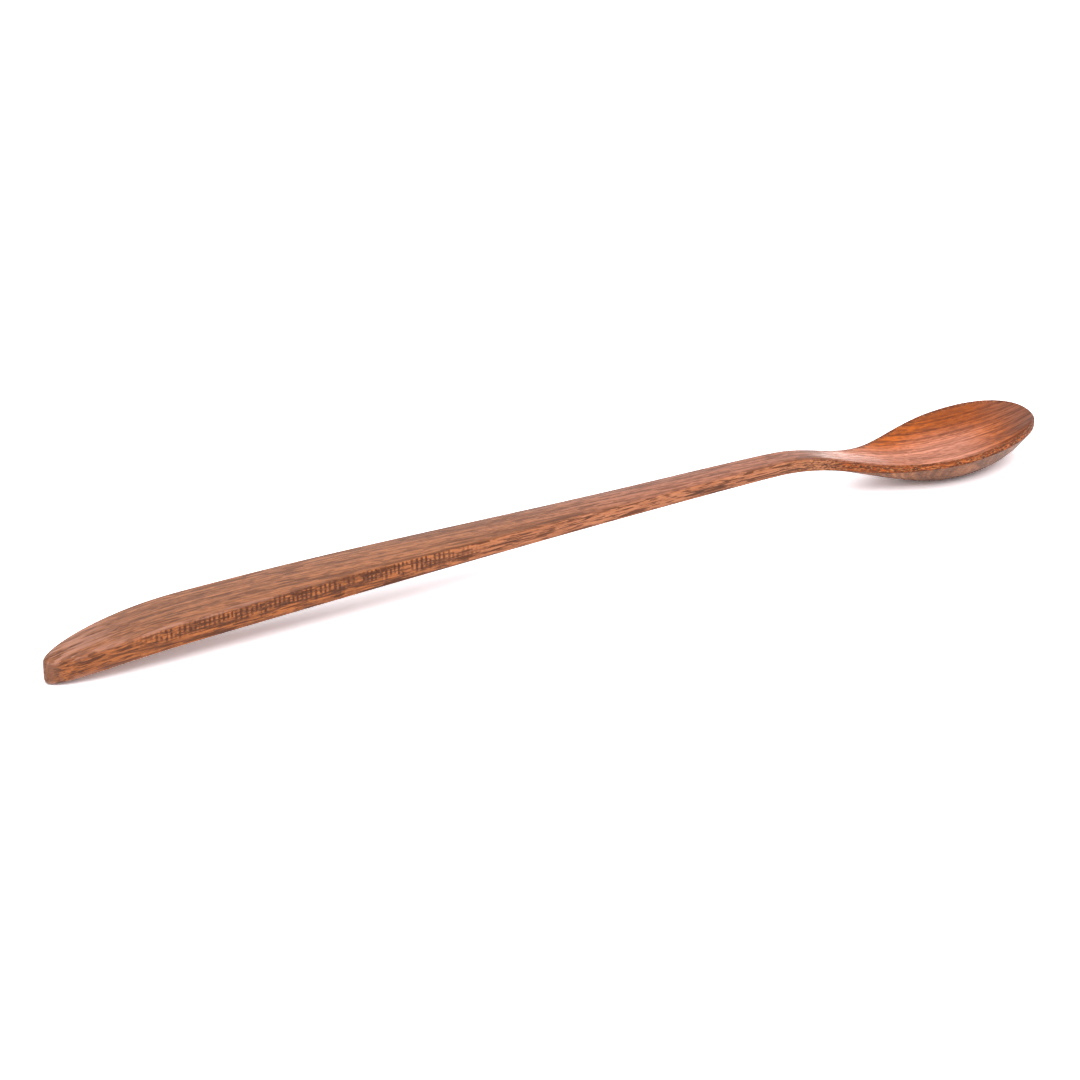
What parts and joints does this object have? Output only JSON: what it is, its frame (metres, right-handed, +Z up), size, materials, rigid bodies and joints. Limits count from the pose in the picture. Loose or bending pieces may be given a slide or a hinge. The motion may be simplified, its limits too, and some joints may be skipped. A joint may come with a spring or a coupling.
{
  "type": "flat juice spoon",
  "caption": "Long slender wooden spoon for stirring and sipping juice, with a flat arched handle that widens to a rounded end and a shallow egg-shaped bowl.",
  "frame": {"origin": "on the table under the middle of the spoon: bottom centre of its bounding box as it lies with the bowl open upward", "axes": "+X along the spoon from the handle's end to the bowl's tip, +Z up out of the open bowl, Y across the spoon"},
  "size_m": [0.3, 0.0282, 0.0175],
  "materials": {
    "oiled_wood": "hand-sanded reddish-brown hardwood with straight grain along the spoon, satin oil finish"
  },
  "bodies": {
    "root": {"spoon_body": "oiled_wood"}
  },
  "joints": []
}
